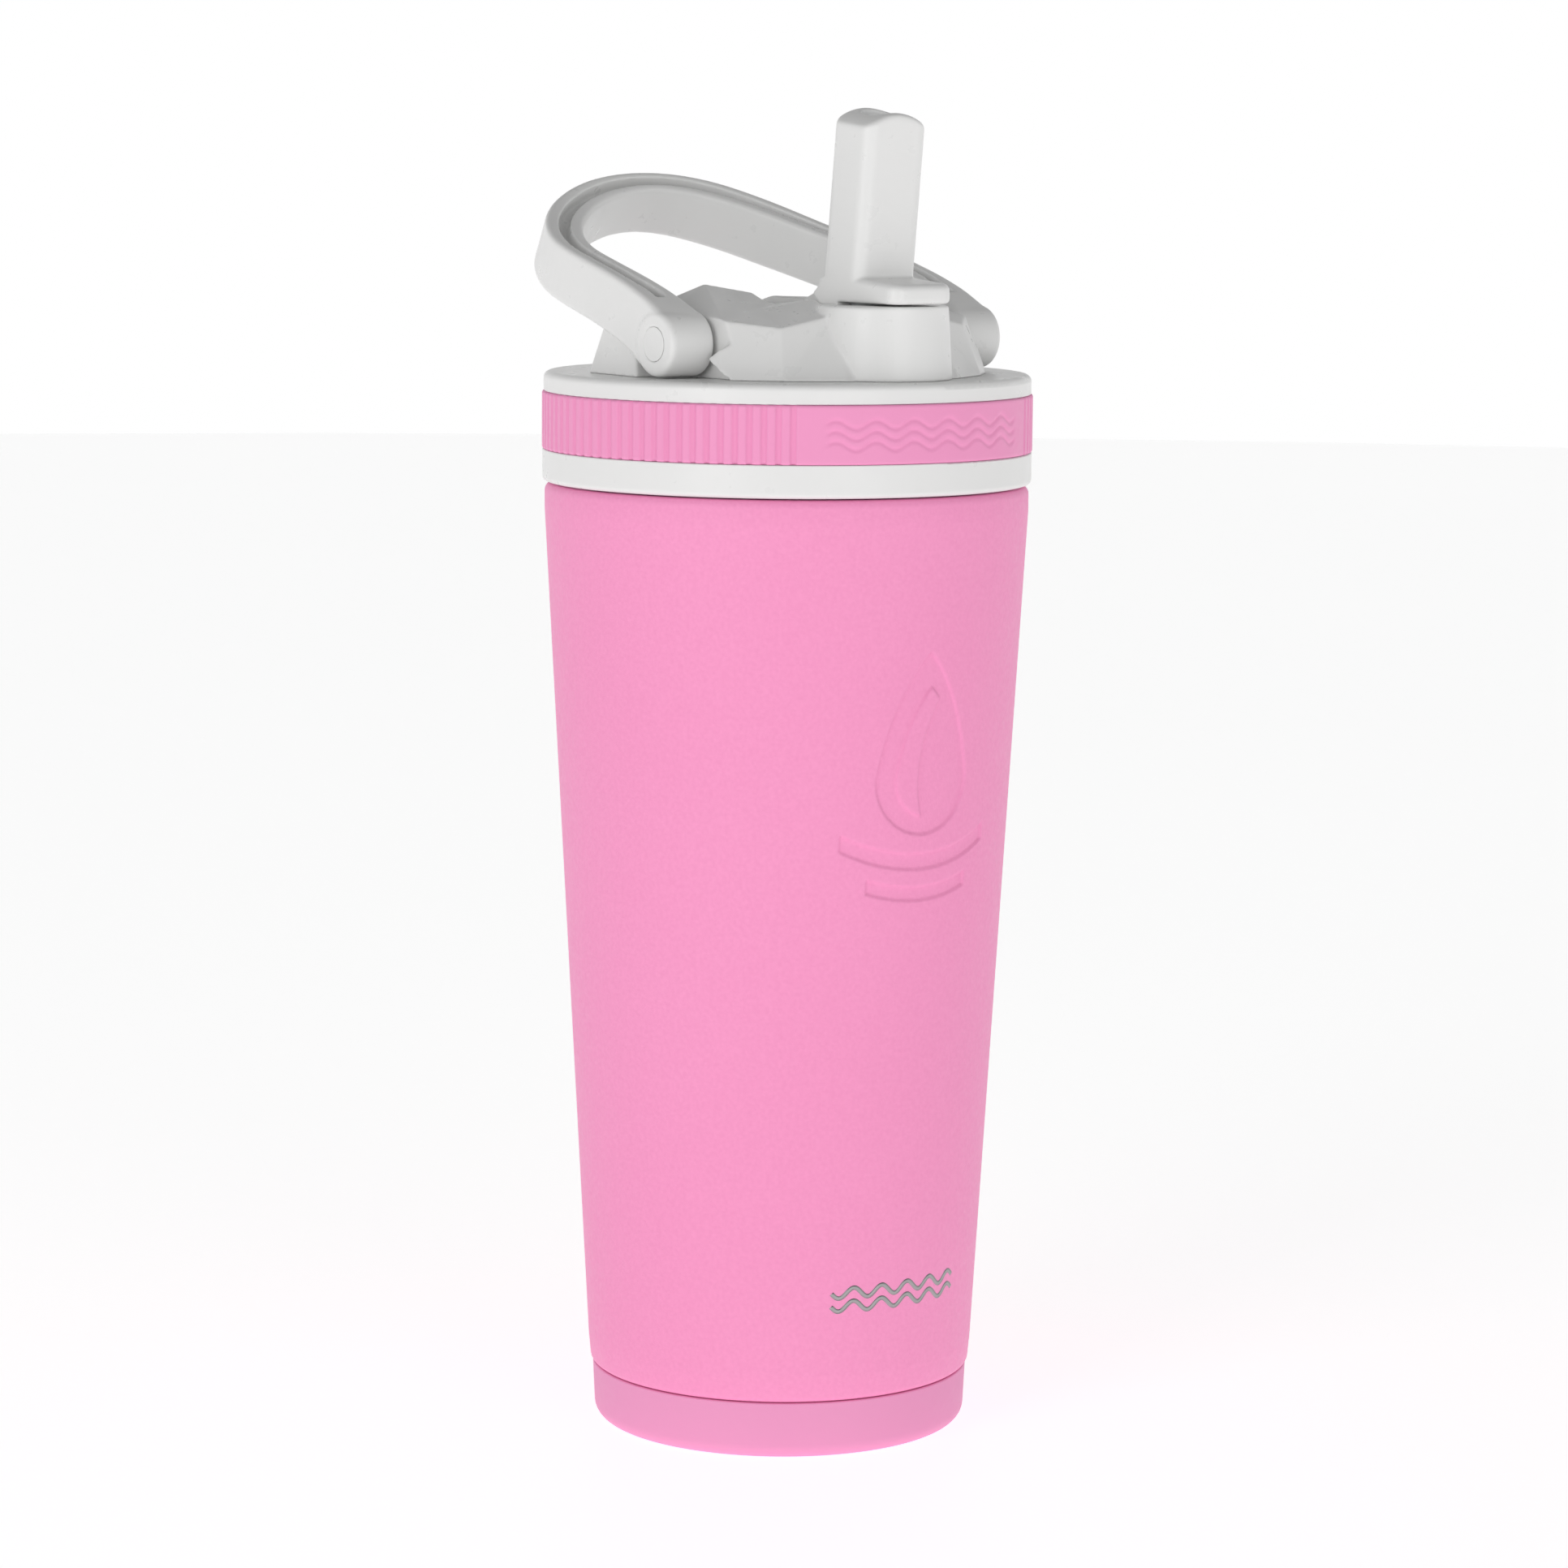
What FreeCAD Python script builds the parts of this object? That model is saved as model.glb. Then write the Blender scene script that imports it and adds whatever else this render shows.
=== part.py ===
"""Insulated protein shaker bottle: double-wall steel vessel, screw lid with a flip-up straw spout
and a swinging carry handle.

Frame: millimetres, +Z up, the bottle's axis is Z and it stands on z = 0.  The spout faces -Y and
the handle swings about an axis parallel to X.
"""
import FreeCAD
import Part
import math
import os

from FreeCAD import Vector

os.makedirs("parts", exist_ok=True)

# ---------------------------------------------------------------- driving dimensions (mm)
BOOT_TOP = 10.9                 # top edge of the silicone base boot
BOOT_FOOT_R = 35.3
BOOT_TOP_R = 35.8
BOOT_CORNER = 3.0
BOOT_FLOOR = 1.6
BOOT_BORE_R = 34.1

SKIN = 0.5                      # outer steel wall
LINER = 0.4                     # inner steel wall
VACUUM = 1.5                    # gap between the walls
SHELL_FOOT_R = 34.05            # outer wall inside the boot
SHELL_FOOT_Z = 1.8
TAPER_LOW_Z = 14.0
TAPER_LOW_R = 36.5
TAPER_TOP_Z = 174.5
TAPER_TOP_R = 45.45
SHOULDER_Z = 179.2
SHOULDER_ROUND = 1.5
NECK_R = 41.0                   # outside of the threaded neck
NECK_TOP_Z = 191.8
LIP_Z = 192.6                   # rolled drinking lip
FLOOR_Z = 17.0                  # inside floor of the liner
FLOOR_CORNER = 9.0

THREAD_PITCH = 4.0
THREAD_TURNS = 1.5
THREAD_HEIGHT = 0.9
NECK_THREAD_Z = 182.6
LID_THREAD_Z = 180.9

LID_BOTTOM_Z = 179.5
RING_R = 45.92                  # lower ring of the lid
RING_TOP_Z = 185.54
BAND_R = 46.0                   # ribbed grip band
BAND_SEAT_R = 44.9
BAND_TOP_Z = 196.34
FLANGE_R = 45.7
FLANGE_Z = 200.0                # flat top of the lid base
FLANGE_ROUND = 1.3
SKIRT_BORE_R = 43.2
DECK = 2.6                      # thickness of the lid's deck
COLLAR_R = 38.6
COLLAR_WALL = 1.4
COLLAR_BOTTOM_Z = 187.5
GASKET_CEILING_Z = 196.0

RIB_PITCH_DEG = 3.25
RIB_GROOVE_WIDTH = 1.15
RIB_GROOVE_DEPTH = 0.45
SMOOTH_HALF_ANGLE = 34.0        # plain stretch of the band at the front

STRAW_Y = -21.0
STRAW_R = 4.0
STRAW_BORE_R = 3.2
STRAW_BOTTOM_Z = 21.0
PORT_R = 5.2
PORT_WALL = 1.2
PORT_BOTTOM_Z = 187.0
VENT_Y = 13.0

TURRET_Y = -28.7
TURRET_BASE_R = 12.9
TURRET_TOP_R = 12.0
TURRET_TOP_Z = 213.5

SPOUT_PIVOT_Y = STRAW_Y
SPOUT_PIVOT_Z = 209.5
SPOUT_BARREL_R = 5.0
SPOUT_HALF_WIDTH = 7.0
SPOUT_SLOT_HALF_WIDTH = 7.4
SPOUT_SOCKET_R = 8.2            # round of the socket that the barrel and heel turn in
SPOUT_DEPTH = 11.4
SPOUT_EDGE_ROUND = 2.4
SPOUT_CROWN_R = 10.7            # arch of the spout's top, across its width
SPOUT_CROWN_ROUND = 1.0
SPOUT_LEAN_DEG = 6.1
SPOUT_TOP_Z = 249.2
SPOUT_PIN_R = 1.5
FOOT_Z = 213.9                  # underside of the spout's foot and thumb tab
TAB_TIP_Y = -41.2
TAB_ROOT = 4.3                  # thickness of the thumb tab where it leaves the spout
TAB_TIP = 3.6
TAB_CORNER = 2.8
TAB_ROUND = 1.4
TAB_UNDER_ROUND = 0.8
CHANNEL_FLOOR_Z = 206.2
CHANNEL_BACK_Y = 20.5
FLOW_R = 2.6

HANDLE_PIVOT_Y = -10.5
HANDLE_PIVOT_Z = 206.3
HANDLE_HALF_SPAN = 37.2         # outer half width across the legs
HANDLE_LENGTH = 66.95           # along the side curve, pivot to the outside of the arch
HANDLE_LEG = 28.3               # straight part of that length
HANDLE_OUTER_POWER = 2.11
HANDLE_INNER_POWER = 1.92
HANDLE_EYE_FLARE = 1.2          # the legs spread this much more at the eyes
HANDLE_EYE_R = 5.95
HANDLE_EYE_WALL = 9.6
HANDLE_LEG_WALL = 6.8
HANDLE_ARCH_WALL = 5.6
HANDLE_WIDTHS = (11.7, 10.55, 11.7)       # strap width at the pivot, halfway and at the arch
HANDLE_SLOPE = (32.1, -78.8, 91.9)        # side-view slope in degrees, quadratic along the length
HANDLE_EDGE_ROUND = 1.0
HANDLE_SWING_DEG = 105.0        # forward swing from the rest on the dome's shoulders
HANDLE_FLAT_X = 28.0            # flats on the dome that face the eyes
PIN_R = 2.6
PIN_HEAD_R = 3.1
PIN_HEAD = 0.9
EYE_OUT = HANDLE_HALF_SPAN + HANDLE_EYE_FLARE
RUNNING = 0.05                  # radial clearance of the running fits

SIDES = (("left", -1), ("right", 1))


# ---------------------------------------------------------------- helpers
def at(x, y, z):
    return Vector(x, y, z)


def cylinder(radius, start, axis, length):
    return Part.makeCylinder(radius, length, start, axis)


def upright(radius, x, y, low, high):
    return cylinder(radius, at(x, y, low), at(0, 0, 1), high - low)


def across(radius, y, z, x_low, x_high):
    return cylinder(radius, at(x_low, y, z), at(1, 0, 0), x_high - x_low)


def box(x, y, z):
    """Box between the (low, high) pairs x, y and z."""
    return Part.makeBox(x[1] - x[0], y[1] - y[0], z[1] - z[0], at(x[0], y[0], z[0]))


def prism_x(outline, x_low, x_high):
    """Extrude a closed outline of (y, z) points from x_low to x_high."""
    points = [at(x_low, y, z) for y, z in outline]
    face = Part.Face(Part.makePolygon(points + points[:1]))
    return face.extrude(at(x_high - x_low, 0, 0))


def arc_through(a, b, c):
    return Part.Arc(a, b, c).toShape()


def revolve(outline):
    """Revolve a closed (r, z) outline about Z.  A third value rounds that corner."""
    points = [at(p[0], 0, p[1]) for p in outline]
    radii = [p[2] if len(p) > 2 else 0.0 for p in outline]
    edges = []
    starts = []
    ends = []
    for i, corner in enumerate(points):
        before = points[i - 1] - corner
        after = points[(i + 1) % len(points)] - corner
        if not radii[i]:
            starts.append(corner)
            ends.append(corner)
            continue
        before.normalize()
        after.normalize()
        half = before.getAngle(after) / 2
        reach = radii[i] / math.tan(half)
        bisector = before + after
        bisector.normalize()
        first = corner + before * reach
        last = corner + after * reach
        middle = corner + bisector * (radii[i] / math.sin(half) - radii[i])
        starts.append(first)
        ends.append(last)
        edges.append((i, arc_through(first, middle, last)))
    arcs = dict(edges)
    wire = []
    for i in range(len(points)):
        if i in arcs:
            wire.append(arcs[i])
        following = starts[(i + 1) % len(points)]
        if (following - ends[i]).Length > 1e-6:
            wire.append(Part.makeLine(ends[i], following))
    return Part.Face(Part.Wire(wire)).revolve(at(0, 0, 0), at(0, 0, 1), 360)


def thread(root_r, low_z, height, outward):
    """Trapezoid thread ridge that starts inside the wall at root_r."""
    sign = 1 if outward else -1
    helix = Part.makeHelix(THREAD_PITCH, THREAD_PITCH * THREAD_TURNS, root_r)
    bury = 0.35 * sign
    crest = height * sign
    profile = [(-bury, -1.1), (crest, -0.45), (crest, 0.45), (-bury, 1.1)]
    points = [at(root_r + dr, 0, dz) for dr, dz in profile]
    wire = Part.makePolygon(points + points[:1])
    ridge = Part.Wire(helix.Edges).makePipeShell([wire], True, True)
    ridge.translate(at(0, 0, low_z))
    return ridge


def outer_r(z):
    """Outside radius of the vessel's straight taper at height z."""
    share = (z - TAPER_LOW_Z) / (TAPER_TOP_Z - TAPER_LOW_Z)
    return TAPER_LOW_R + (TAPER_TOP_R - TAPER_LOW_R) * share


# ---------------------------------------------------------------- vessel
def make_outer_shell():
    neck_bore = NECK_R - SKIN
    shoulder_low = SHOULDER_Z - SKIN
    profile = [
        (SHELL_FOOT_R - SKIN, SHELL_FOOT_Z),
        (SHELL_FOOT_R, SHELL_FOOT_Z),
        (SHELL_FOOT_R, BOOT_TOP + 0.15),
        (outer_r(TAPER_LOW_Z) - 0.35, BOOT_TOP + 0.15, 1.6),
        (TAPER_LOW_R, TAPER_LOW_Z + 2.0, 4.0),
        (TAPER_TOP_R, TAPER_TOP_Z, 20.0),
        (TAPER_TOP_R, SHOULDER_Z, SHOULDER_ROUND),
        (NECK_R, SHOULDER_Z),
        (NECK_R, NECK_TOP_Z),
        (neck_bore, NECK_TOP_Z),
        (neck_bore, shoulder_low),
        (TAPER_TOP_R - SKIN, shoulder_low, SHOULDER_ROUND - SKIN),
        (TAPER_TOP_R - SKIN, TAPER_TOP_Z),
        (outer_r(TAPER_LOW_Z + 2.0) - SKIN, TAPER_LOW_Z + 2.0),
        (outer_r(TAPER_LOW_Z) - SKIN - 0.35, BOOT_TOP + 0.15 + SKIN),
        (SHELL_FOOT_R - SKIN, BOOT_TOP + 0.15 + SKIN),
    ]
    return revolve(profile).fuse(thread(NECK_R, NECK_THREAD_Z, THREAD_HEIGHT, True))


def make_inner_vessel():
    back_off = SKIN + VACUUM
    neck_out = NECK_R - SKIN
    neck_in = neck_out - LINER
    low = FLOOR_Z + FLOOR_CORNER
    high = TAPER_TOP_Z - 3.0
    profile = [
        (0, FLOOR_Z - LINER),
        (outer_r(low) - back_off - 0.5, FLOOR_Z - LINER, FLOOR_CORNER + LINER),
        (outer_r(high) - back_off, high, 4.0),
        (neck_out, SHOULDER_Z - 2.2, 1.0),
        (neck_out, NECK_TOP_Z),
        (NECK_R, NECK_TOP_Z),
        (NECK_R, LIP_Z, 0.35),
        (neck_in, LIP_Z, 0.35),
        (neck_in, SHOULDER_Z - 2.2 - LINER, 1.0),
        (outer_r(high) - back_off - LINER, high - LINER, 4.0),
        (outer_r(low) - back_off - 0.5 - LINER, FLOOR_Z, FLOOR_CORNER),
        (0, FLOOR_Z),
    ]
    return revolve(profile)


def make_base_plate():
    rim = SHELL_FOOT_R - SKIN
    low = SHELL_FOOT_Z
    high = low + SKIN
    dome = 3.2
    profile = [
        (1.2, low + dome), (7.0, low + dome, 1.0), (9.5, low, 1.2), (rim, low),
        (rim, high), (9.5 + SKIN, high, 1.2), (7.0 + SKIN, high + dome, 1.0), (1.2, high + dome),
    ]
    return revolve(profile)


def make_vacuum_plug():
    """Solder bead that closes the evacuation hole in the dimple of the base plate."""
    low = SHELL_FOOT_Z + 3.2
    return revolve([(0, low - 0.7), (3.4, low - 0.7, 0.5), (3.4, low), (1.2, low), (1.2, low + 1.0), (0, low + 1.0)])


def make_getter():
    """Getter pellet in its cup, fixed under the liner's floor inside the vacuum."""
    top = FLOOR_Z - LINER
    return revolve([(0, top - 2.4), (4.0, top - 2.4, 0.5), (5.0, top - 0.8), (6.5, top - 0.8), (6.5, top), (0, top)])


def make_base_boot():
    profile = [
        (0, 0), (BOOT_FOOT_R, 0, BOOT_CORNER), (BOOT_TOP_R, BOOT_TOP, 0.5),
        (BOOT_BORE_R, BOOT_TOP), (BOOT_BORE_R, BOOT_FLOOR), (0, BOOT_FLOOR),
    ]
    return revolve(profile)


# ---------------------------------------------------------------- lid base
def make_lid_body():
    deck_low = FLANGE_Z - DECK
    collar_bore = COLLAR_R - COLLAR_WALL
    profile = [
        (0, deck_low), (collar_bore, deck_low), (collar_bore, COLLAR_BOTTOM_Z),
        (COLLAR_R, COLLAR_BOTTOM_Z, 0.5), (COLLAR_R, GASKET_CEILING_Z),
        (SKIRT_BORE_R, GASKET_CEILING_Z), (SKIRT_BORE_R, LID_BOTTOM_Z),
        (RING_R, LID_BOTTOM_Z, 1.0), (RING_R, RING_TOP_Z, 0.25),
        (BAND_SEAT_R, RING_TOP_Z), (BAND_SEAT_R, BAND_TOP_Z),
        (FLANGE_R, BAND_TOP_Z, 0.25), (FLANGE_R, FLANGE_Z, FLANGE_ROUND), (0, FLANGE_Z),
    ]
    body = revolve(profile)
    body = body.fuse(thread(SKIRT_BORE_R, LID_THREAD_Z, THREAD_HEIGHT, False))
    port = upright(PORT_R + PORT_WALL, 0, STRAW_Y, PORT_BOTTOM_Z, deck_low + 0.5)
    body = body.fuse(port)
    body = body.cut(upright(PORT_R, 0, STRAW_Y, PORT_BOTTOM_Z - 1, FLANGE_Z + 1))
    return body.cut(upright(1.6, 0, VENT_Y, deck_low - 1, FLANGE_Z + 1))


def make_grip_band():
    """Ring whose outline carries the upright finger ribs, plain across the front."""
    sector = 360.0 - 2 * SMOOTH_HALF_ANGLE
    count = int(sector // RIB_PITCH_DEG)
    step = sector / count
    half = math.degrees(RIB_GROOVE_WIDTH / 2 / BAND_R)
    z = RING_TOP_Z + 0.05

    def on(radius, angle):
        turn = math.radians(angle - 90)
        return at(radius * math.cos(turn), radius * math.sin(turn), z)

    edges = []
    cursor = SMOOTH_HALF_ANGLE + step / 2 - half
    first = cursor
    for i in range(count):
        middle = SMOOTH_HALF_ANGLE + step * (i + 0.5)
        low, high = middle - half, middle + half
        if i:
            edges.append(arc_through(on(BAND_R, cursor), on(BAND_R, (cursor + low) / 2), on(BAND_R, low)))
        edges.append(arc_through(on(BAND_R, low), on(BAND_R - RIB_GROOVE_DEPTH, middle), on(BAND_R, high)))
        cursor = high
    edges.append(arc_through(on(BAND_R, cursor), on(BAND_R, 360), on(BAND_R, first + 360)))
    outline = Part.Face(Part.Wire(edges))
    ring = outline.extrude(at(0, 0, BAND_TOP_Z - RING_TOP_Z - 0.1))
    return ring.cut(upright(BAND_SEAT_R, 0, 0, z - 1, BAND_TOP_Z + 1))


def make_lid_gasket():
    """Ring seal above the drinking lip, with a sealing bead underneath."""
    inner = COLLAR_R + 0.3
    outer = SKIRT_BORE_R - 0.5
    top = GASKET_CEILING_Z - 0.3
    low = LIP_Z + 0.1
    profile = [
        (inner, low + 0.7), (39.4, low + 0.7), (39.9, low, 0.2), (40.8, low, 0.2), (41.3, low + 0.7),
        (outer, low + 0.7, 0.4), (outer, top, 0.4), (inner, top, 0.4),
    ]
    return revolve(profile)


def make_straw():
    tube = upright(STRAW_R, 0, STRAW_Y, STRAW_BOTTOM_Z, FLANGE_Z - 0.6)
    tube = tube.cut(upright(STRAW_BORE_R, 0, STRAW_Y, STRAW_BOTTOM_Z - 1, FLANGE_Z))
    bevel = box((-9, 9), (-14, 14), (-6, 0))
    bevel.rotate(at(0, 0, 0), at(1, 0, 0), 30)
    bevel.translate(at(0, STRAW_Y - STRAW_R, STRAW_BOTTOM_Z + 0.6))
    return tube.cut(bevel)


def make_straw_grommet():
    sleeve = upright(PORT_R, 0, STRAW_Y, PORT_BOTTOM_Z, FLANGE_Z)
    bead = upright(PORT_R + PORT_WALL, 0, STRAW_Y, PORT_BOTTOM_Z - 1.2, PORT_BOTTOM_Z)
    body = sleeve.fuse(bead)
    body = body.cut(upright(STRAW_R, 0, STRAW_Y, PORT_BOTTOM_Z - 2, FLANGE_Z - 0.6))
    return body.cut(upright(FLOW_R, 0, STRAW_Y, PORT_BOTTOM_Z, FLANGE_Z + 1))


def make_vent_valve():
    """Umbrella valve: stem through the deck, flexible cap underneath."""
    deck_low = FLANGE_Z - DECK
    valve = revolve([
        (0, deck_low - 1.6), (2.2, deck_low - 1.6, 0.5), (4.2, deck_low - 0.3, 0.15), (4.2, deck_low),
        (1.6, deck_low), (1.6, FLANGE_Z), (0, FLANGE_Z),
    ])
    valve.translate(at(0, VENT_Y, 0))
    return valve


def make_agitator():
    """Mixing grid that snaps into the collar under the lid, with a hole for the straw."""
    rim_r = COLLAR_R - COLLAR_WALL
    low = COLLAR_BOTTOM_Z - 4.0
    plate = 1.8
    body = revolve([
        (0, low), (rim_r, low, 0.8), (rim_r, COLLAR_BOTTOM_Z + 3.5), (rim_r - 1.5, COLLAR_BOTTOM_Z + 3.5),
        (rim_r - 1.5, low + plate), (0, low + plate),
    ])
    pitch = 7.4
    hole_r = 2.75
    cutters = []
    for row in range(-5, 6):
        for column in range(-5, 6):
            x = (column + 0.5 * (row % 2)) * pitch
            y = row * pitch * math.sqrt(3) / 2
            near_rim = math.hypot(x, y) > rim_r - 1.5 - hole_r - 0.6
            near_straw = math.hypot(x, y - STRAW_Y) < PORT_R + PORT_WALL + hole_r + 1.4
            if not near_rim and not near_straw:
                cutters.append(upright(hole_r, x, y, low - 1, low + plate + 1))
    cutters.append(upright(PORT_R + PORT_WALL + 0.4, 0, STRAW_Y, low - 1, low + plate + 1))
    return body.cut(Part.makeCompound(cutters))


# ---------------------------------------------------------------- dome with the spout turret
DOME_AZIMUTHS = (0, 20, 38, 56, 84, 110, 145, 180)      # degrees round from the front
DOME_FOOT = (36.5, 37.5, 37.2, 37.4, 37.8, 38.4, 38.2, 37.6)
DOME_RINGS = (
    # (azimuth, radius, height above the deck) of the knee ring, then of the crown ring
    ((0, 28.5, 12.2), (22, 29.8, 11.6), (39, 33.4, 9.5), (58, 33.5, 10.7),
     (84, 34.2, 9.4), (110, 35.6, 8.6), (145, 33.6, 10.4), (180, 34.4, 9.0)),
    ((0, 17.0, 13.9), (24, 19.3, 14.2), (52, 20.5, 12.4), (70, 21.0, 13.2),
     (100, 17.5, 16.5), (122, 19.5, 13.4), (152, 17.5, 13.6), (180, 18.5, 13.4)),
)
DOME_CROWN_HEIGHT = 13.6


def dome_rings(inset, drop):
    """Vertices of the dome's three rings for one side, pulled in by inset and lowered by drop."""
    foot = [(a, r - inset, 0.0) for a, r in zip(DOME_AZIMUTHS, DOME_FOOT)]
    rings = [foot]
    for ring in DOME_RINGS:
        rings.append([(a, r - inset, h - drop) for a, r, h in ring])
    return rings


def dome_solid(inset, drop):
    """Faceted dome: triangles between three rings and a crown point, mirrored in X."""
    crown = at(0, 0, FLANGE_Z + DOME_CROWN_HEIGHT - drop)
    triangles = []
    for _, side in SIDES:
        rings = []
        for ring in dome_rings(inset, drop):
            row = []
            for azimuth, radius, height in ring:
                turn = math.radians(azimuth)
                x = side * radius * math.sin(turn) if 0 < azimuth < 180 else 0.0
                row.append(at(x, -radius * math.cos(turn), FLANGE_Z + height))
            rings.append(row)
        for i in range(len(DOME_AZIMUTHS) - 1):
            for level, (low, high) in enumerate(zip(rings, rings[1:])):
                if (i + level) % 2:
                    triangles.append((low[i], low[i + 1], high[i]))
                    triangles.append((low[i + 1], high[i + 1], high[i]))
                else:
                    triangles.append((low[i], low[i + 1], high[i + 1]))
                    triangles.append((low[i], high[i + 1], high[i]))
            triangles.append((rings[-1][i], rings[-1][i + 1], crown))
            triangles.append((rings[0][i], rings[0][i + 1], at(0, 0, FLANGE_Z)))
    faces = [Part.Face(Part.makePolygon([a, b, c, a])) for a, b, c in triangles]
    solid = Part.makeSolid(Part.makeShell(faces))
    if solid.Volume < 0:
        solid.reverse()
    return solid


def side_curve(length):
    """Place (y, z) and slope of the handle's side curve at a distance along it."""
    steps = 60
    y = 0.0
    z = 0.0
    for i in range(steps):
        here = (i + 0.5) / steps * length / HANDLE_LENGTH
        slope = handle_slope(here)
        y += math.cos(slope) * length / steps
        z += math.sin(slope) * length / steps
    return HANDLE_PIVOT_Y + y, HANDLE_PIVOT_Z + z, handle_slope(length / HANDLE_LENGTH)


def handle_slope(share):
    start, linear, square = HANDLE_SLOPE
    return math.radians(start + linear * share + square * share * share)


def handle_width(share):
    low, middle, high = HANDLE_WIDTHS
    return low * (1 - share) * (1 - 2 * share) + 4 * middle * share * (1 - share) + high * share * (2 * share - 1)


def handle_pocket():
    """Space beside the dome that the handle's eyes and legs turn in, between its two stops."""
    gap = 0.45
    lower = []
    for length in (7.5, 15.0, 24.0, 36.0, 50.0):
        y, z, slope = side_curve(length)
        reach = handle_width(length / HANDLE_LENGTH) / 2 + gap
        lower.append((y + reach * math.sin(slope), z - reach * math.cos(slope)))
    front = HANDLE_PIVOT_Y - HANDLE_EYE_R - 0.6
    foot_y = front - 5.2
    low = FLANGE_Z - 1
    # the legs' lower edge at the end of the forward swing
    final = handle_slope(0.0) + math.radians(HANDLE_SWING_DEG)
    reach = HANDLE_WIDTHS[0] / 2 + gap
    steps = (front - HANDLE_PIVOT_Y + reach * math.sin(final)) / math.cos(final)
    knee_z = HANDLE_PIVOT_Z + reach * math.cos(final) + steps * math.sin(final)
    far = 40.0
    outline = [
        (foot_y, low), (foot_y, FLANGE_Z), (front, knee_z),
        (front + far * math.cos(final), knee_z + far * math.sin(final)),
        (front - far, 260), (60, 260), (60, lower[-1][1]),
    ] + lower[::-1]
    outline.append((HANDLE_PIVOT_Y + 5.6, low))
    pocket = prism_x(outline, HANDLE_FLAT_X, 50)
    return pocket.fuse(prism_x(outline, -50, -HANDLE_FLAT_X))


def make_dome_cover():
    turret = Part.makeCone(
        TURRET_BASE_R, TURRET_TOP_R, TURRET_TOP_Z - FLANGE_Z, at(0, TURRET_Y, FLANGE_Z), at(0, 0, 1))
    top_edges = [e for e in turret.Edges if abs(e.BoundBox.ZMin - TURRET_TOP_Z) < 1e-3 and e.BoundBox.ZLength < 1e-3]
    turret = turret.makeFillet(0.5, top_edges)
    body = dome_solid(0, 0).cut(handle_pocket()).fuse(turret)
    # slot for the spout's barrel and the channel that the folded spout lies in
    slot = SPOUT_SLOT_HALF_WIDTH
    socket = across(SPOUT_SOCKET_R, SPOUT_PIVOT_Y, SPOUT_PIVOT_Z, -slot, slot)
    mouth = SPOUT_SOCKET_R - 1.0
    above = box((-slot, slot), (SPOUT_PIVOT_Y - mouth, SPOUT_PIVOT_Y + mouth), (SPOUT_PIVOT_Z, 230))
    channel = box((-slot, slot), (SPOUT_PIVOT_Y, CHANNEL_BACK_Y), (CHANNEL_FLOOR_Z, 230))
    body = body.cut(socket.fuse(above).fuse(channel))
    # side hollows, leaving the walls of the channel and a boss round each handle pin
    wall = 2.2
    hollow = dome_solid(wall, wall)
    keep = box((-slot - wall, slot + wall), (-50, 50), (FLANGE_Z - 1, 230))
    keep = keep.fuse(upright(TURRET_BASE_R, 0, TURRET_Y, FLANGE_Z - 1, 230))
    for _, side in SIDES:
        keep = keep.fuse(across(PIN_R + 2.2, HANDLE_PIVOT_Y, HANDLE_PIVOT_Z,
                                *sorted((side * 20.0, side * 40.0))))
        keep = keep.fuse(box(sorted((side * (HANDLE_FLAT_X - wall), side * 50)), (-50, 50), (FLANGE_Z - 1, 230)))
    body = body.cut(hollow.cut(keep).cut(handle_pocket()))
    # bores: flow port under the barrel, spout pin, handle pins, vent
    body = body.cut(upright(4.05, 0, SPOUT_PIVOT_Y, FLANGE_Z - 1, SPOUT_PIVOT_Z))
    body = body.cut(across(SPOUT_PIN_R, SPOUT_PIVOT_Y, SPOUT_PIVOT_Z, -slot - 3.2, slot + 3.2))
    body = body.cut(upright(1.0, 0, VENT_Y, FLANGE_Z - 1, CHANNEL_FLOOR_Z + 1))
    for _, side in SIDES:
        body = body.cut(across(PIN_R, HANDLE_PIVOT_Y, HANDLE_PIVOT_Z, *sorted((side * 22.0, side * 40.0))))
    return body.removeSplitter()


# ---------------------------------------------------------------- spout
def lean_y(z):
    """Y of the spout's centre plane, which leans forwards."""
    return -24.5 - math.tan(math.radians(SPOUT_LEAN_DEG)) * (z - 219.0)


def make_stem():
    """Leaning block of the spout, with an arched top and rounded edges."""
    half = SPOUT_DEPTH / 2
    top = SPOUT_TOP_Z
    wide = SPOUT_HALF_WIDTH
    stem = prism_x([
        (lean_y(FOOT_Z) - half, FOOT_Z), (lean_y(top) - half, top),
        (lean_y(top) + half, top), (lean_y(FOOT_Z) + half, FOOT_Z),
    ], -wide, wide)
    upright_edges = [e for e in stem.Edges if e.BoundBox.ZLength > 20]
    stem = stem.makeFillet(SPOUT_EDGE_ROUND, upright_edges)
    # the arch runs square to the lean and is highest at the back
    lean = math.radians(SPOUT_LEAN_DEG)
    rise = math.tan(lean) * half
    arch_z = top - rise - SPOUT_CROWN_R
    span = 40.0
    arch = cylinder(SPOUT_CROWN_R, at(0, lean_y(top) - span / 2, arch_z), at(0, 1, 0), span)
    arch = arch.fuse(box((-SPOUT_CROWN_R, SPOUT_CROWN_R), (lean_y(top) - span / 2, lean_y(top) + span / 2),
                         (FOOT_Z - 60, arch_z)))
    arch.rotate(at(0, lean_y(top), top), at(1, 0, 0), SPOUT_LEAN_DEG)
    stem = stem.common(arch).removeSplitter()
    side_z = arch_z + math.sqrt(SPOUT_CROWN_R ** 2 - wide ** 2) - rise
    crown_edges = [e for e in stem.Edges if e.BoundBox.ZMin > side_z - 0.4]
    return stem.makeFillet(SPOUT_CROWN_ROUND, crown_edges)


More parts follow.
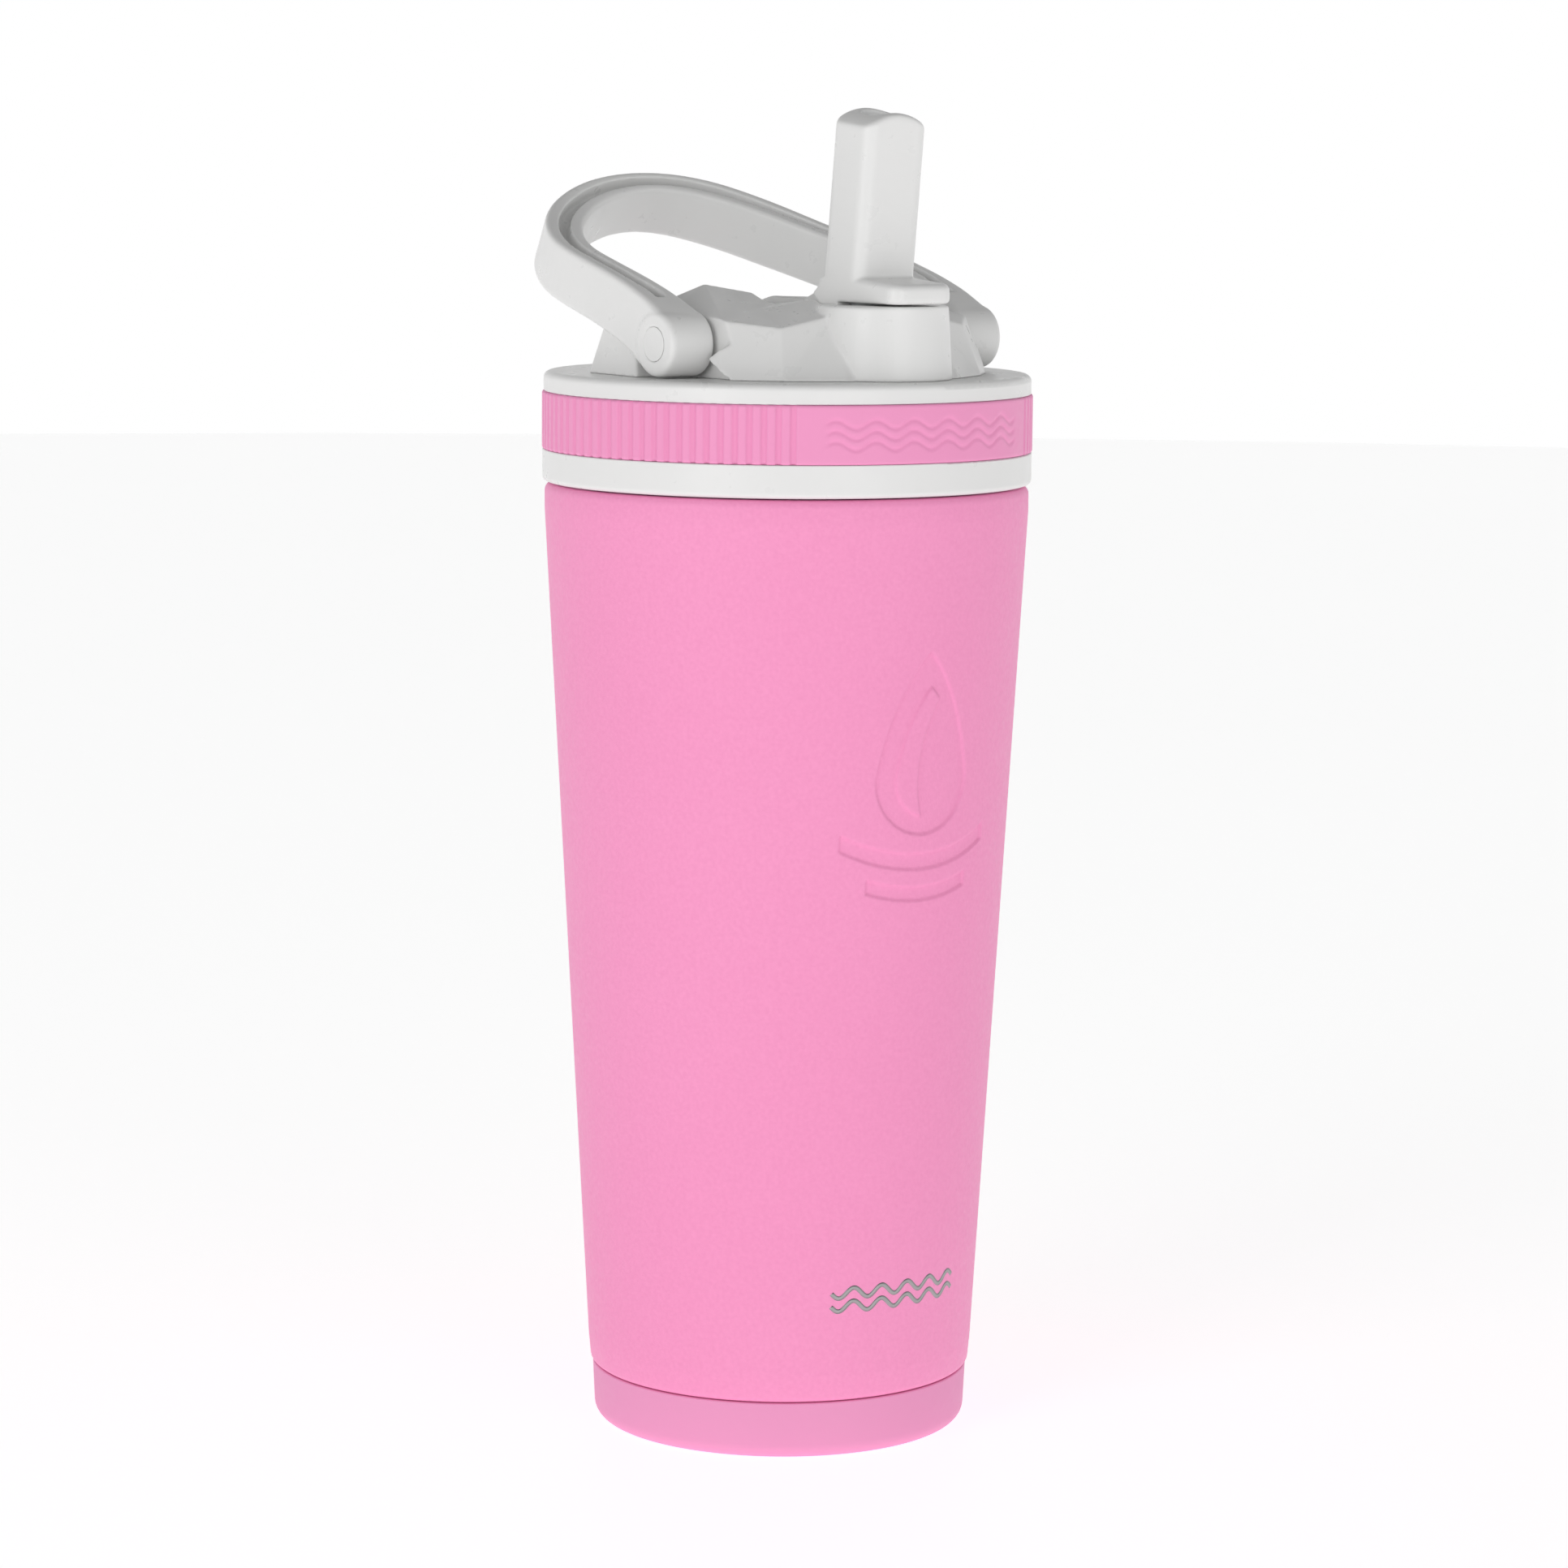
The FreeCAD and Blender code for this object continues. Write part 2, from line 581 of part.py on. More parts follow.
def make_tab(root):
    """Thumb tab that stands out in front of the spout's foot."""
    wide = SPOUT_HALF_WIDTH
    tab = prism_x([
        (TAB_TIP_Y, FOOT_Z), (root, FOOT_Z), (root, FOOT_Z + TAB_ROOT + 0.4), (TAB_TIP_Y, FOOT_Z + TAB_TIP),
    ], -wide, wide)
    tip_corners = [e for e in tab.Edges if e.BoundBox.ZLength > 2 and e.BoundBox.YMax < TAB_TIP_Y + 1e-3]
    tab = tab.makeFillet(TAB_CORNER, tip_corners)
    rims = [e for e in tab.Edges if e.BoundBox.YMin < root - 1e-3]
    tab = tab.makeFillet(TAB_ROUND, [e for e in rims if e.BoundBox.ZMin > FOOT_Z + 2.0])
    rims = [e for e in tab.Edges if e.BoundBox.YMin < root - 1e-3]
    return tab.makeFillet(TAB_UNDER_ROUND, [e for e in rims if e.BoundBox.ZMax < FOOT_Z + 1e-3])


def make_spout():
    wide = SPOUT_HALF_WIDTH
    root = lean_y(FOOT_Z) - SPOUT_DEPTH / 2 + 3.0
    # small thumb rest behind the foot, within the socket's round when the spout folds
    heel = prism_x([(root, FOOT_Z)] + [(SPOUT_PIVOT_Y + dy, FOOT_Z + dz) for dy, dz in (
        (3.5, 0.0), (4.6, 1.5), (3.2, 2.6), (2.3, 4.4))] + [(root, FOOT_Z + 4.4)], -wide, wide)
    barrel = across(SPOUT_BARREL_R, SPOUT_PIVOT_Y, SPOUT_PIVOT_Z, -wide, wide)
    body = make_stem().fuse(make_tab(root)).fuse(heel).fuse(barrel)
    body = body.cut(across(SPOUT_PIN_R + RUNNING, SPOUT_PIVOT_Y, SPOUT_PIVOT_Z, -wide - 1, wide + 1))
    return body.cut(flow_tube(FLOW_R + 1.0, SPOUT_TOP_Z + 2)).removeSplitter()


def flow_tube(radius, end_z):
    """Passage through the spout, from under the barrel up along the leaning stem."""
    knee = at(0, lean_y(FOOT_Z + 3), FOOT_Z + 3)
    start = at(0, SPOUT_PIVOT_Y, SPOUT_PIVOT_Z - SPOUT_BARREL_R - 1)
    end = at(0, lean_y(end_z), end_z)
    pieces = [Part.makeSphere(radius, knee)]
    for a, b in ((start, knee), (knee, end)):
        pieces.append(cylinder(radius, a, b - a, (b - a).Length))
    return pieces[0].fuse(pieces[1]).fuse(pieces[2])


def make_spout_tube():
    """Soft liner of the passage with the drinking slot at its end."""
    tube = flow_tube(FLOW_R + 1.0, SPOUT_TOP_Z + 2).cut(flow_tube(FLOW_R - 0.2, SPOUT_TOP_Z + 4))
    tube = tube.cut(box((-20, 20), (-60, 20), (SPOUT_TOP_Z - 1.9, SPOUT_TOP_Z + 10)))
    tube = tube.cut(box((-20, 20), (-60, 20), (FLANGE_Z - 5, SPOUT_PIVOT_Z + SPOUT_PIN_R + 0.6)))
    return tube


def make_spout_pin():
    return across(SPOUT_PIN_R, SPOUT_PIVOT_Y, SPOUT_PIVOT_Z, -SPOUT_SLOT_HALF_WIDTH - 2.2, SPOUT_SLOT_HALF_WIDTH + 2.2)


def make_spout_seal():
    """Cupped silicone pad that the barrel turns against, over the straw port."""
    body = upright(4.0, 0, SPOUT_PIVOT_Y, FLANGE_Z, SPOUT_PIVOT_Z - 2.5)
    body = body.cut(across(SPOUT_BARREL_R + RUNNING, SPOUT_PIVOT_Y, SPOUT_PIVOT_Z, -10, 10))
    return body.cut(upright(FLOW_R, 0, SPOUT_PIVOT_Y, FLANGE_Z - 1, SPOUT_PIVOT_Z))


# ---------------------------------------------------------------- handle
def handle_outline(turn, outer):
    """Half-width and length of the outer or inner outline; turn runs 0 (leg) to 90 degrees (arch)."""
    power = HANDLE_OUTER_POWER if outer else HANDLE_INNER_POWER
    span = HANDLE_HALF_SPAN - (0 if outer else HANDLE_LEG_WALL)
    reach = HANDLE_LENGTH - HANDLE_LEG - (0 if outer else HANDLE_ARCH_WALL)
    x = span * abs(math.cos(math.radians(turn))) ** (2 / power)
    return x, HANDLE_LEG + reach * abs(math.sin(math.radians(turn))) ** (2 / power)


def handle_stations():
    """(outer point, inner point) pairs in the unrolled plane, from the right eye to the arch's top."""
    stations = []
    for share in (0.0, 0.25, 0.5, 0.75):
        wall = HANDLE_EYE_WALL + (HANDLE_LEG_WALL - HANDLE_EYE_WALL) * math.sin(share * math.pi / 2)
        outside = HANDLE_HALF_SPAN + HANDLE_EYE_FLARE * (1 - share)
        inset = 0.2 * (1 - share)                   # leaves the eyes a little proud of the strap
        stations.append(((outside - inset, HANDLE_LEG * share), (outside - wall + inset, HANDLE_LEG * share)))
    for turn in (0, 12, 24, 36, 48, 60, 72, 82, 87):
        stations.append((handle_outline(turn, True), handle_outline(turn, False)))
    stations.append(((0.0, HANDLE_LENGTH), (0.0, HANDLE_LENGTH - HANDLE_ARCH_WALL)))
    return stations


def handle_section(outer, inner, narrow, lift, corner):
    """Rounded rectangle across the strap; narrow trims the thickness, lift is the (low, high)
    share of the strap's width that the section spans."""
    middle = Vector((outer[0] + inner[0]) / 2, (outer[1] + inner[1]) / 2, 0)
    across_x = outer[0] - inner[0]
    across_u = outer[1] - inner[1]
    thick = math.hypot(across_x, across_u)
    y, z, slope = side_curve(middle.y)
    along = at(0, math.cos(slope), math.sin(slope))
    normal = at(0, -math.sin(slope), math.cos(slope))
    out = at(across_x / thick, 0, 0) + along * (across_u / thick)
    centre = at(middle.x, y, z)
    width = handle_width(middle.y / HANDLE_LENGTH)
    half = narrow(thick) / 2
    low, high = width * lift[0], width * lift[1]
    corners = [(-half, low), (half, low), (half, high), (-half, high)]
    edges = []
    stops = []
    for i, (u, v) in enumerate(corners):
        du = -corner if u > 0 else corner
        dv = -corner if v > (low + high) / 2 else corner
        near = (u + du, v)
        far = (u, v + dv)
        if i in (0, 2):
            near, far = far, near
        bend = (u + du * (1 - math.sqrt(0.5)), v + dv * (1 - math.sqrt(0.5)))
        stops.append((near, bend, far))

    def place(point):
        return centre + out * point[0] + normal * point[1]

    for i, (near, bend, far) in enumerate(stops):
        edges.append(arc_through(place(near), place(bend), place(far)))
        edges.append(Part.makeLine(place(far), place(stops[(i + 1) % 4][0])))
    return Part.Wire(edges)


def handle_sweep(stations, narrow, lift, corner):
    """Smooth solid through the stations' sections, mirrored to make the whole bail."""
    sections = [handle_section(o, i, narrow, lift, corner) for o, i in stations]
    half = Part.makeLoft(sections, True, False)
    return half.fuse(half.mirror(at(0, 0, 0), at(1, 0, 0)))


def make_handle():
    stations = handle_stations()
    strap = handle_sweep(stations, lambda t: t, (-0.5, 0.5), HANDLE_EDGE_ROUND)
    groove = handle_sweep(stations[1:], lambda t: min(2.3, 0.36 * t), (0.24, 0.6), 0.5)
    body = strap
    eyes = []
    for _, side in SIDES:
        ends = sorted((side * EYE_OUT, side * (EYE_OUT - HANDLE_EYE_WALL)))
        eye = across(HANDLE_EYE_R, HANDLE_PIVOT_Y, HANDLE_PIVOT_Z, *ends)
        eye = eye.makeFillet(HANDLE_EDGE_ROUND, [e for e in eye.Edges if len(e.Vertexes) == 1])
        eyes.append(eye)
    for eye in eyes:
        body = body.fuse(eye)
    body = body.cut(groove)
    for _, side in SIDES:
        bore = sorted((side * 20, side * (EYE_OUT + 1)))
        recess = sorted((side * (EYE_OUT - PIN_HEAD - 0.1), side * (EYE_OUT + 1)))
        body = body.cut(across(PIN_R + RUNNING, HANDLE_PIVOT_Y, HANDLE_PIVOT_Z, *bore))
        body = body.cut(across(PIN_HEAD_R + RUNNING, HANDLE_PIVOT_Y, HANDLE_PIVOT_Z, *recess))
    return body


def make_handle_pin(side):
    outside = EYE_OUT - 0.05
    shank = across(PIN_R, HANDLE_PIVOT_Y, HANDLE_PIVOT_Z, *sorted((side * 22.5, side * outside)))
    head = across(PIN_HEAD_R, HANDLE_PIVOT_Y, HANDLE_PIVOT_Z, *sorted((side * (EYE_OUT - PIN_HEAD), side * outside)))
    return shank.fuse(head)


# ---------------------------------------------------------------- build
PARTS = {
    "outer_shell": make_outer_shell,
    "inner_vessel": make_inner_vessel,
    "base_plate": make_base_plate,
    "vacuum_plug": make_vacuum_plug,
    "getter": make_getter,
    "base_boot": make_base_boot,
    "lid_body": make_lid_body,
    "grip_band": make_grip_band,
    "lid_gasket": make_lid_gasket,
    "straw": make_straw,
    "straw_grommet": make_straw_grommet,
    "vent_valve": make_vent_valve,
    "agitator": make_agitator,
    "dome_cover": make_dome_cover,
    "spout": make_spout,
    "spout_tube": make_spout_tube,
    "spout_pin": make_spout_pin,
    "spout_seal": make_spout_seal,
    "handle": make_handle,
    "handle_pin_left": lambda: make_handle_pin(-1),
    "handle_pin_right": lambda: make_handle_pin(1),
}

for name, make in PARTS.items():
    shape = make()
    solids = len(shape.Solids)
    print(f"{name:20s} solids {solids} valid {shape.isValid()} volume {shape.Volume / 1000:.2f} ml")
    shape.exportStep(f"parts/{name}.step")
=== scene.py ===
"""Looks of the protein shaker bottle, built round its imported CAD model.

Lengths are metres, +Z is up, the bottle's axis is Z and its spout faces -Y.
"""
import math

import bmesh
import bpy
from mathutils import Matrix, Vector


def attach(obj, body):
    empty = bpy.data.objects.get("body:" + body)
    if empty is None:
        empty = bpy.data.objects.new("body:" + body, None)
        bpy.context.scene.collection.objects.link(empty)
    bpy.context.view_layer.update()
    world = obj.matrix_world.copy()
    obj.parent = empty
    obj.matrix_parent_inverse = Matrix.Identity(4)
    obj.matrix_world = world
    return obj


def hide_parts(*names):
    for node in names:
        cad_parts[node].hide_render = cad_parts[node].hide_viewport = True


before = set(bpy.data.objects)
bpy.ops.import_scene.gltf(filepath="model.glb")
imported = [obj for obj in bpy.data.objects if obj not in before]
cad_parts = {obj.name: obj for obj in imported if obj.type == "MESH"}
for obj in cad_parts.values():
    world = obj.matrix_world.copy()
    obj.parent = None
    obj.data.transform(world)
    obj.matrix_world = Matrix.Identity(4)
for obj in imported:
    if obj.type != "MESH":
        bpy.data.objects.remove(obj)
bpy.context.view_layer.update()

MM = 0.001
TAU = 2 * math.pi

# ---------------------------------------------------------------- sizes shared with the CAD model (mm)
TAPER_LOW = (36.5, 14.0)            # (radius, height) where the vessel's straight taper starts
TAPER_TOP = (45.45, 174.5)
SHOULDER_Z = 179.2
NECK_R = 41.0
NECK_TOP_Z = 191.8
SKIN = 0.5
FOOT_R = 36.15                      # rounded lower edge of the outer wall
FOOT_Z = 11.05
FOOT_RECESS_R = 34.05               # outside of the stepped-in foot that the boot covers
FOOT_UNDER_Z = 1.8
BOOT_TOP = 10.9
BOOT_FOOT_R = 35.3
BOOT_TOP_R = 35.8
BOOT_FLOOR = 1.6
BAND_LOW_Z = 185.59
BAND_TOP_Z = 196.29
BAND_R = 46.0
BAND_SEAT_R = 44.95
RIB_COUNT = 89
SMOOTH_HALF_ANGLE = 34.0            # plain stretch of the grip band, degrees each side of the front


# ---------------------------------------------------------------- camera, floor and light
VIEW_AZIMUTH = -37.0                # degrees round from the front
CAMERA_DISTANCE = 0.9158
CAMERA_HEIGHT = 0.2455
CAMERA_PITCH = -7.68
CAMERA_ROLL = 0.51
LENS = 111.9
HORIZON_LIGHT = 1.0
CEILING_LIGHT = 0.15
LIGHT_FADE = (0.08, 0.8)            # upward parts of a direction between which the light fades
FLOOR_GLOW = 0.6
FLOOR_R = 3.0
FLOOR_CORNERS = 48
LIGHT_AIM_Z = 0.12
KEY_POWER = 2.2
FILL_POWER = 1.3


def polar(radius, azimuth, z=0.0):
    """Point at a distance from the axis; azimuth 0 is the front (-Y) and grows towards +X."""
    turn = math.radians(azimuth)
    return Vector((radius * math.sin(turn), -radius * math.cos(turn), z))


def make_camera():
    data = bpy.data.cameras.new("camera")
    data.lens = LENS
    data.sensor_width = 36.0
    camera = bpy.data.objects.new("camera", data)
    bpy.context.scene.collection.objects.link(camera)
    camera.location = polar(CAMERA_DISTANCE, VIEW_AZIMUTH, CAMERA_HEIGHT)
    turn = Matrix.Rotation(math.radians(VIEW_AZIMUTH), 4, "Z")
    tilt = Matrix.Rotation(math.radians(90 + CAMERA_PITCH), 4, "X")
    roll = Matrix.Rotation(math.radians(CAMERA_ROLL), 4, "Z")
    camera.rotation_euler = (turn @ tilt @ roll).to_euler()
    bpy.context.scene.camera = camera


def area_light(name, azimuth, distance, height, size, power):
    data = bpy.data.lights.new(name, "AREA")
    data.shape = "RECTANGLE"
    data.size, data.size_y = size
    data.energy = power
    lamp = bpy.data.objects.new(name, data)
    bpy.context.scene.collection.objects.link(lamp)
    lamp.location = polar(distance, azimuth, height)
    aim = Vector((0, 0, LIGHT_AIM_Z)) - lamp.location
    lamp.rotation_euler = aim.to_track_quat("-Z", "Y").to_euler()


def studio_world():
    """White all round at eye level and dimmer overhead, as between soft boxes under a dark ceiling."""
    world = bpy.data.worlds.new("world")
    world.use_nodes = True
    tree = world.node_tree
    background = tree.nodes["Background"]
    place = tree.nodes.new("ShaderNodeTexCoord")
    split = tree.nodes.new("ShaderNodeSeparateXYZ")
    fade = tree.nodes.new("ShaderNodeMapRange")
    fade.interpolation_type = "SMOOTHSTEP"
    fade.inputs["From Min"].default_value, fade.inputs["From Max"].default_value = LIGHT_FADE
    fade.inputs["To Min"].default_value = HORIZON_LIGHT
    fade.inputs["To Max"].default_value = CEILING_LIGHT
    tree.links.new(place.outputs["Generated"], split.inputs["Vector"])
    tree.links.new(split.outputs["Z"], fade.inputs["Value"])
    tree.links.new(fade.outputs["Result"], background.inputs["Strength"])
    background.inputs["Color"].default_value = (1.0, 1.0, 1.0, 1.0)
    return world


def make_stage():
    mesh = bpy.data.meshes.new("floor")
    turns = [TAU * i / FLOOR_CORNERS for i in range(FLOOR_CORNERS)]
    points = [(FLOOR_R * math.cos(turn), FLOOR_R * math.sin(turn), 0.0) for turn in turns]
    mesh.from_pydata(points, [], [list(range(FLOOR_CORNERS))])
    floor = bpy.data.objects.new("floor", mesh)
    bpy.context.scene.collection.objects.link(floor)
    floor.data.materials.append(floor_material())
    scene = bpy.context.scene
    scene.world = studio_world()
    scene.view_settings.view_transform = "Standard"
    area_light("key", VIEW_AZIMUTH - 35, 1.2, 0.45, (0.5, 0.8), KEY_POWER)
    area_light("fill", VIEW_AZIMUTH + 30, 1.2, 0.3, (0.6, 0.8), FILL_POWER)


# ---------------------------------------------------------------- materials
NOISE_REACH = (0.3, 0.7)


class Nodes:
    """A material's node tree with short calls for the few nodes used here."""

    def __init__(self, name, colour, roughness):
        self.material = bpy.data.materials.new(name)
        self.material.use_nodes = True
        self.tree = self.material.node_tree
        self.shader = self.tree.nodes["Principled BSDF"]
        self.shader.inputs["Base Color"].default_value = (*colour, 1.0)
        self.shader.inputs["Roughness"].default_value = roughness
        self.place = self.tree.nodes.new("ShaderNodeTexCoord").outputs["Object"]

    def link(self, output, socket):
        self.tree.links.new(output, socket)

    def feed(self, output, name):
        """Feeds one of the shader's own inputs from a node."""
        self.link(output, self.shader.inputs[name])

    def noise(self, scale, detail=3.0, stretch=None):
        """Noise in the piece's own space, scale in waves per metre, pulled out along an axis by stretch."""
        node = self.tree.nodes.new("ShaderNodeTexNoise")
        node.inputs["Scale"].default_value = scale
        node.inputs["Detail"].default_value = detail
        place = self.place
        if stretch:
            mapping = self.tree.nodes.new("ShaderNodeMapping")
            mapping.inputs["Scale"].default_value = stretch
            self.link(place, mapping.inputs["Vector"])
            place = mapping.outputs["Vector"]
        self.link(place, node.inputs["Vector"])
        return node.outputs["Fac"]

    def spread(self, value, low, high):
        """Noise's usual reach, stretched to run from low to high."""
        node = self.tree.nodes.new("ShaderNodeMapRange")
        node.inputs["From Min"].default_value, node.inputs["From Max"].default_value = NOISE_REACH
        node.inputs["To Min"].default_value = low
        node.inputs["To Max"].default_value = high
        self.link(value, node.inputs["Value"])
        return node.outputs["Result"]

    def blend_colours(self, factor, first, second):
        """Mixes first, a colour or a node's output, with the colour second."""
        node = self.tree.nodes.new("ShaderNodeMix")
        node.data_type = "RGBA"
        if isinstance(first, tuple):
            node.inputs["A"].default_value = (*first, 1.0)
        else:
            self.link(first, node.inputs["A"])
        node.inputs["B"].default_value = (*second, 1.0)
        self.link(factor, node.inputs["Factor"])
        return node.outputs["Result"]

    def bump(self, value, distance, strength=1.0, under=None):
        """Relief of a height in metres, laid over the relief given as under."""
        node = self.tree.nodes.new("ShaderNodeBump")
        node.inputs["Strength"].default_value = strength
        node.inputs["Distance"].default_value = distance
        self.link(value, node.inputs["Height"])
        if under is not None:
            self.link(under, node.inputs["Normal"])
        return node.outputs["Normal"]


def srgb(red, green, blue):
    """Linear colour of an 8-bit display colour."""
    def linear(level):
        share = level / 255.0
        return share / 12.92 if share <= 0.04045 else ((share + 0.055) / 1.055) ** 2.4

    return linear(red), linear(green), linear(blue)


def powder_coat():
    n = Nodes("powder_coat", srgb(249, 155, 201), 0.5)
    mottle = n.blend_colours(n.noise(18, 2.0), srgb(248, 153, 199), srgb(251, 159, 204))
    speck = n.spread(n.noise(1300, 3.0), 0.0, 0.35)
    n.feed(n.blend_colours(speck, mottle, srgb(238, 141, 188)), "Base Color")
    n.feed(n.spread(n.noise(900, 2.0), 0.44, 0.62), "Roughness")
    coarse = n.bump(n.noise(380, 2.0), 0.00005)
    n.feed(n.bump(n.noise(1700, 3.0), 0.00005, under=coarse), "Normal")
    n.shader.inputs["Specular IOR Level"].default_value = 0.35
    return n.material


def soft_rubber(name, colour, shade, roughness):
    n = Nodes(name, colour, roughness)
    n.feed(n.blend_colours(n.noise(30, 2.0), colour, shade), "Base Color")
    n.feed(n.spread(n.noise(700, 3.0), roughness - 0.05, roughness + 0.07), "Roughness")
    n.feed(n.bump(n.noise(3200, 3.0), 0.000015), "Normal")
    n.shader.inputs["Specular IOR Level"].default_value = 0.4
    return n.material


def moulded_white():
    n = Nodes("moulded_white", srgb(231, 231, 230), 0.32)
    n.feed(n.blend_colours(n.noise(25, 3.0), srgb(229, 229, 228), srgb(234, 234, 233)), "Base Color")
    n.feed(n.spread(n.noise(300, 4.0), 0.26, 0.4), "Roughness")
    waves = n.bump(n.noise(70, 2.0), 0.00015, 0.5)
    n.feed(n.bump(n.noise(900, 2.0), 0.0000015, under=waves), "Normal")
    return n.material


def translucent_silicone():
    n = Nodes("translucent_silicone", srgb(226, 228, 230), 0.4)
    n.feed(n.blend_colours(n.noise(60, 2.0), srgb(222, 225, 228), srgb(233, 234, 235)), "Base Color")
    n.feed(n.spread(n.noise(600, 3.0), 0.35, 0.5), "Roughness")
    n.feed(n.bump(n.noise(1800, 2.0), 0.00001), "Normal")
    return n.material


def straw_plastic():
    n = Nodes("straw_plastic", srgb(232, 234, 236), 0.22)
    streaks = n.noise(80, 2.0, (1, 1, 0.05))
    n.feed(n.blend_colours(streaks, srgb(228, 231, 234), srgb(238, 239, 240)), "Base Color")
    n.feed(n.spread(n.noise(400, 3.0, (1, 1, 0.1)), 0.16, 0.3), "Roughness")
    n.feed(n.bump(n.noise(900, 2.0, (1, 1, 0.03)), 0.00001), "Normal")
    n.shader.inputs["Transmission Weight"].default_value = 0.25
    return n.material


def brushed_steel(name, rough_low, rough_high, stretch, shade=0.62):
    n = Nodes(name, (shade, shade, shade), 0.3)
    grain = n.noise(500, 4.0, stretch)
    dark = shade - 0.07
    light = shade + 0.06
    n.feed(n.blend_colours(grain, (dark, dark, dark), (light, light, light)), "Base Color")
    n.feed(n.spread(grain, rough_low, rough_high), "Roughness")
    n.feed(n.bump(grain, 0.00001), "Normal")
    n.shader.inputs["Metallic"].default_value = 1.0
    return n.material


def floor_material():
    n = Nodes("studio_floor", (0.93, 0.93, 0.93), 0.6)
    n.feed(n.blend_colours(n.noise(3, 2.0), (0.92, 0.92, 0.92), (0.94, 0.94, 0.94)), "Base Color")
    n.feed(n.bump(n.noise(400, 2.0), 0.00005), "Normal")
    n.shader.inputs["Emission Color"].default_value = (1.0, 1.0, 1.0, 1.0)
    n.shader.inputs["Emission Strength"].default_value = FLOOR_GLOW
    return n.material


# ---------------------------------------------------------------- mesh helpers
def new_piece(name, points, faces, body, material):
    """Mesh object from points in millimetres, riding on a CAD body."""
    mesh = bpy.data.meshes.new(name)
    mesh.from_pydata([Vector(p) * MM for p in points], [], faces)
    work = bmesh.new()
    work.from_mesh(mesh)
    bmesh.ops.recalc_face_normals(work, faces=work.faces)
    work.to_mesh(mesh)
    work.free()
    mesh.polygons.foreach_set("use_smooth", [True] * len(mesh.polygons))
    mesh.materials.append(material)
    piece = bpy.data.objects.new(name, mesh)
    bpy.context.scene.collection.objects.link(piece)
    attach(piece, body)
    return piece


def rounded(outline, steps=5):
    """Closed (r, z) outline with its corners rounded: a third value is a corner's radius."""
    made = []
    for i, corner in enumerate(outline):
        here = Vector(corner[:2])
        radius = corner[2] if len(corner) > 2 else 0.0
        if not radius:
            made.append(here)
            continue
        before = (Vector(outline[i - 1][:2]) - here).normalized()
        after = (Vector(outline[(i + 1) % len(outline)][:2]) - here).normalized()
        half = before.angle(after) / 2
        centre = here + (before + after).normalized() * (radius / math.sin(half))
        first = here + before * (radius / math.tan(half)) - centre
        last = here + after * (radius / math.tan(half)) - centre
        sweep = first.angle_signed(last)
        for k in range(steps + 1):
            made.append(centre + Matrix.Rotation(-sweep * k / steps, 2) @ first)
    return made


def lathe(outline, azimuths, shift=None):
    """(points, faces) of a closed outline turned about Z; shift(r, z, azimuth) gives a radius change."""
    segments = len(azimuths)
    points = []
    rings = []
    for r, z in outline:
        if r < 1e-6:
            rings.append([len(points)])
            points.append((0, 0, z))
            continue
        ring = []
        for azimuth in azimuths:
            radius = r + (shift(r, z, azimuth) if shift else 0.0)
            ring.append(len(points))
            points.append(polar(radius, azimuth, z))
        rings.append(ring)
    faces = []
    for i in range(len(rings)):
        low, high = rings[i], rings[(i + 1) % len(rings)]
        if len(low) == 1 and len(high) == 1:
            continue
        for k in range(segments):
            following = (k + 1) % segments
            if len(low) == 1:
                faces.append((low[0], high[following], high[k]))
            elif len(high) == 1:
                faces.append((low[k], low[following], high[0]))
            else:
                faces.append((low[k], low[following], high[following], high[k]))
    return points, faces


WELD_REACH = 0.004


def soften(node, voxel, rounds):
    """Rounds a CAD node's edges as moulding does, with modifiers only; voxel is in mm."""
    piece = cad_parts[node]
    weld = piece.modifiers.new("weld", "WELD")
    weld.merge_threshold = WELD_REACH * MM
    remesh = piece.modifiers.new("remesh", "REMESH")
    remesh.mode = "VOXEL"
    remesh.voxel_size = voxel * MM
    remesh.use_smooth_shade = True
    smooth = piece.modifiers.new("smooth", "SMOOTH")
    smooth.factor = 0.5
    smooth.iterations = rounds


def dress(node, material):
    """Gives a CAD node its one material."""
    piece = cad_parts[node]
    piece.data.materials.clear()
    piece.data.materials.append(material)


# ---------------------------------------------------------------- vessel
EMBLEM_Z = 125.0
EMBLEM_DEPTH = 0.42
EMBLEM_EDGE = 0.22                  # half width of the sloping edge round the pressed shapes
EMBLEM_REACH = (20.0, 29.0)         # half width and half height of the finely meshed patch
FINE_STEP = (0.25, 0.3)             # the patch's mesh, round and up
COARSE_COLUMNS = 200                # columns of the mesh over the rest of the wall
DROP_BELLY = 10.5
DROP_RISE = 23.0
DROP_LIFT = 3.0                     # centre of the drop's belly over EMBLEM_Z
INNER_BELLY = 7.2                   # inner drop, whose left edge stays raised as a crescent
INNER_RISE = 16.5
RIPPLES = ((-15.5, 17.0, 1.5), (-21.5, 11.5, 1.3))     # (height, half length, half thickness)
RIPPLE_BEND = 0.014
NECK_THREAD_Z = 182.6
THREAD_PITCH = 4.0
THREAD_TURNS = 1.5
THREAD_HEIGHT = 0.9


def taper_r(z):
    (low_r, low_z), (top_r, top_z) = TAPER_LOW, TAPER_TOP
    return low_r + (top_r - low_r) * (z - low_z) / (top_z - low_z)


def step(value, edge):
    """Smooth 0 to 1 as value falls from edge to -edge."""
    t = min(1.0, max(0.0, (edge - value) / (2 * edge)))
    return t * t * (3 - 2 * t)


